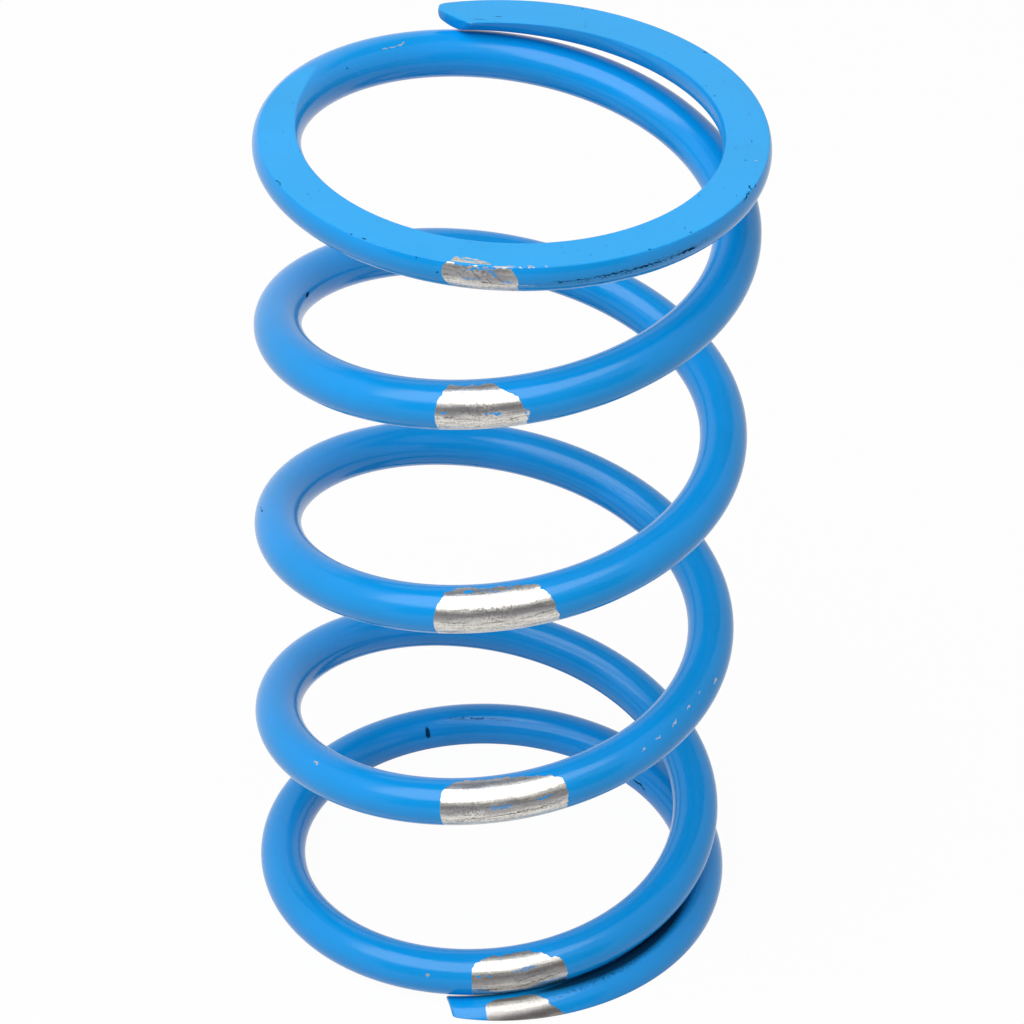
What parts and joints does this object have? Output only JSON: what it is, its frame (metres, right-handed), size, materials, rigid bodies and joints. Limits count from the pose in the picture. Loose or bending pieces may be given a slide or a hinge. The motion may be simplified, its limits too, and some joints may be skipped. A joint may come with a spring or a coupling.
{
  "type": "compression coil spring",
  "caption": "Blue painted steel compression spring with closed, ground ends and a row of silver paint marks, as used in a variable-speed belt drive clutch.",
  "frame": {"origin": "on the coil's axis, in the plane of the lower ground end", "axes": "+Z along the coil's axis from the lower ground end to the upper one; -Y towards the side with the silver marks and the lower tip of the wire"},
  "size_m": [0.0607, 0.0626, 0.11],
  "materials": {
    "blue_paint": "gloss"
  },
  "bodies": {
    "root": {"coil_spring": "blue_paint"}
  },
  "joints": []
}
